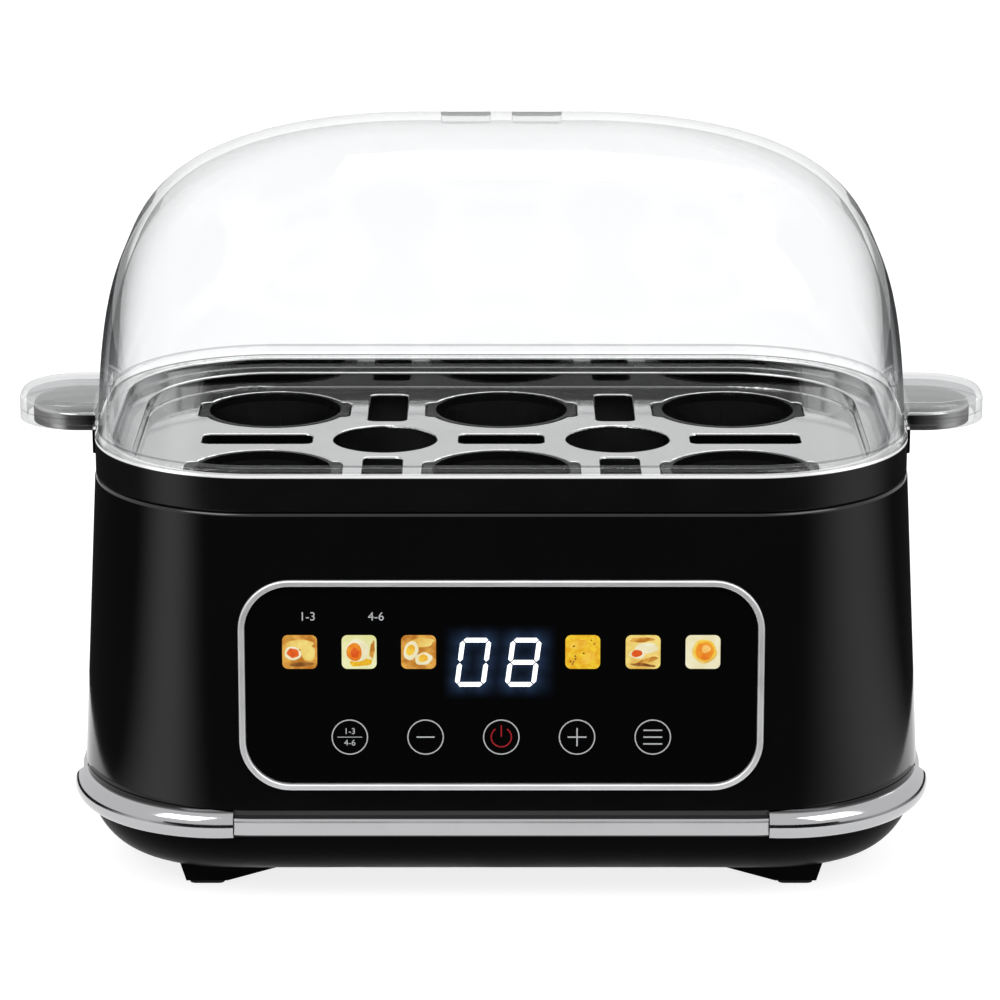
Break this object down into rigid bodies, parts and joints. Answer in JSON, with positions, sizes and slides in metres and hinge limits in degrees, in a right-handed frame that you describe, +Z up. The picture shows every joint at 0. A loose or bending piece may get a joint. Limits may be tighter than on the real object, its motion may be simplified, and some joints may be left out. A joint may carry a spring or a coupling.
{
  "type": "electric egg cooker",
  "caption": "Electric steam egg cooker with a clear lift-off dome, a lift-out steel tray of egg cups, a hidden water bowl with heater, and a touch control panel on its tapered body.",
  "frame": {"origin": "middle of the whole object's outline, on the table that its feet stand on", "axes": "+Z up, the control panel faces -Y, +X to the right of someone who reads the panel"},
  "size_m": [0.2474, 0.1398, 0.1854],
  "materials": {
    "clear_plastic": "clear moulded plastic, polished",
    "polished_steel": "pressed stainless sheet, polished",
    "plain_steel": "plain zinc-coated steel",
    "black_plastic": "moulded black plastic, satin",
    "collar_black": "moulded black plastic, semi-gloss",
    "gloss_black": "high gloss black",
    "base_black": "moulded black plastic, semi-gloss",
    "bright_trim": "bright plated plastic",
    "foot_rubber": "dark soft rubber",
    "seal_silicone": "grey silicone",
    "bowl_coating": "dark non-stick coating",
    "cast_metal": "plain aluminium",
    "panel_black": "polished dark cover with lit marks",
    "board_green": "circuit board",
    "part_plastic": "dark electrical part",
    "guide_white": "white plastic",
    "transformer_yellow": "taped winding",
    "relay_blue": "blue plastic case",
    "cable_grey": "flat grey cable",
    "lead_red": "red silicone sleeve",
    "inlet_rubber": "black moulded bush"
  },
  "bodies": {
    "body": {"upper_collar": "collar_black", "main_housing": "gloss_black", "base_pan": "base_black", "trim_strip_front": "bright_trim", "trim_strip_rear": "bright_trim", "trim_strip_left": "bright_trim", "trim_strip_right": "bright_trim", "corner_bumper_front_left": "bright_trim", "corner_bumper_front_right": "bright_trim", "corner_bumper_rear_left": "bright_trim", "corner_bumper_rear_right": "bright_trim", "foot_pad_front_left": "foot_rubber", "foot_pad_front_right": "foot_rubber", "foot_pad_rear_left": "foot_rubber", "foot_pad_rear_right": "foot_rubber", "bowl_gasket": "seal_silicone", "heating_bowl": "bowl_coating", "element_plate": "cast_metal", "heating_element": "plain_steel", "thermostat": "part_plastic", "thermal_fuse": "cast_metal", "temperature_sensor": "plain_steel", "fuse_clip": "plain_steel", "heat_shield": "cast_metal", "shield_studs": "plain_steel", "panel_bezel": "bright_trim", "control_glass": "panel_black", "panel_carrier": "black_plastic", "control_board": "board_green", "digit_display": "part_plastic", "light_guide_left": "guide_white", "light_guide_right": "guide_white", "picture_lamps": "guide_white", "touch_springs": "plain_steel", "power_board": "board_green", "transformer": "transformer_yellow", "relay": "relay_blue", "capacitor": "part_plastic", "terminal_block": "guide_white", "buzzer": "part_plastic", "ribbon_cable": "cable_grey", "heater_leads": "lead_red", "cord_inlet": "inlet_rubber", "base_screws": "plain_steel", "collar_screws": "plain_steel", "panel_screws": "plain_steel", "board_screws": "plain_steel"},
    "egg_tray": {"egg_tray": "polished_steel", "tray_grip_left": "black_plastic", "tray_grip_right": "black_plastic", "tray_rivets": "plain_steel", "egg_cup_front_left": "black_plastic", "egg_cup_front_middle": "black_plastic", "egg_cup_front_right": "black_plastic", "egg_cup_rear_left": "black_plastic", "egg_cup_rear_middle": "black_plastic", "egg_cup_rear_right": "black_plastic"},
    "lid": {"lid_dome": "clear_plastic"}
  },
  "joints": [
    {"name": "tray_lift", "type": "slide", "parent": "body", "child": "egg_tray", "axis": [0, 0, 1], "range_m": [0, 0.06]},
    {"name": "lid_lift", "type": "slide", "parent": "egg_tray", "child": "lid", "axis": [0, 0, 1], "range_m": [0, 0.09]}
  ]
}
